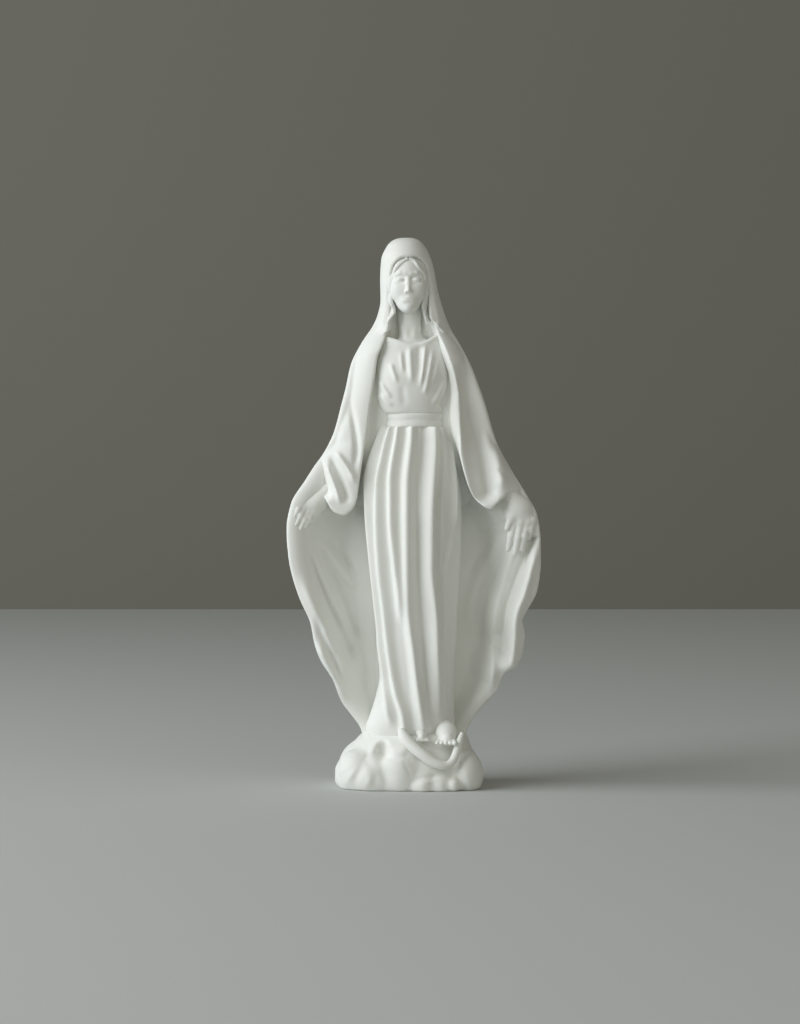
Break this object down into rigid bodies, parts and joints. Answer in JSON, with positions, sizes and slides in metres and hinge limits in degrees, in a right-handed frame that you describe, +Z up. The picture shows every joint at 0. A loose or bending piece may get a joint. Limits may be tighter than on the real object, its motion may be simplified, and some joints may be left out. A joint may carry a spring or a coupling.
{
  "type": "madonna statue",
  "caption": "Small matte white madonna statue: a veiled standing woman with lowered open hands, her mantle spread behind a pleated gown, on a rock plinth with a serpent.",
  "frame": {"origin": "centre of the plinth's flat underside, which is the face the statue stands on", "axes": "+Z up through the head, -Y the way the figure faces, +X to the right of someone who looks at its face"},
  "size_m": [0.0352, 0.0183, 0.076],
  "materials": {
    "cast_plaster": "matte white cast plaster, unpainted"
  },
  "bodies": {
    "root": {"rock_plinth": "cast_plaster", "serpent": "cast_plaster", "left_foot": "cast_plaster", "right_foot": "cast_plaster", "gown_skirt": "cast_plaster", "sash": "cast_plaster", "gown_bodice": "cast_plaster", "head": "cast_plaster", "left_hair": "cast_plaster", "right_hair": "cast_plaster", "veil": "cast_plaster", "mantle_back": "cast_plaster", "left_mantle_side": "cast_plaster", "right_mantle_side": "cast_plaster", "left_sleeve": "cast_plaster", "right_sleeve": "cast_plaster", "left_hand": "cast_plaster", "right_hand": "cast_plaster"}
  },
  "joints": []
}
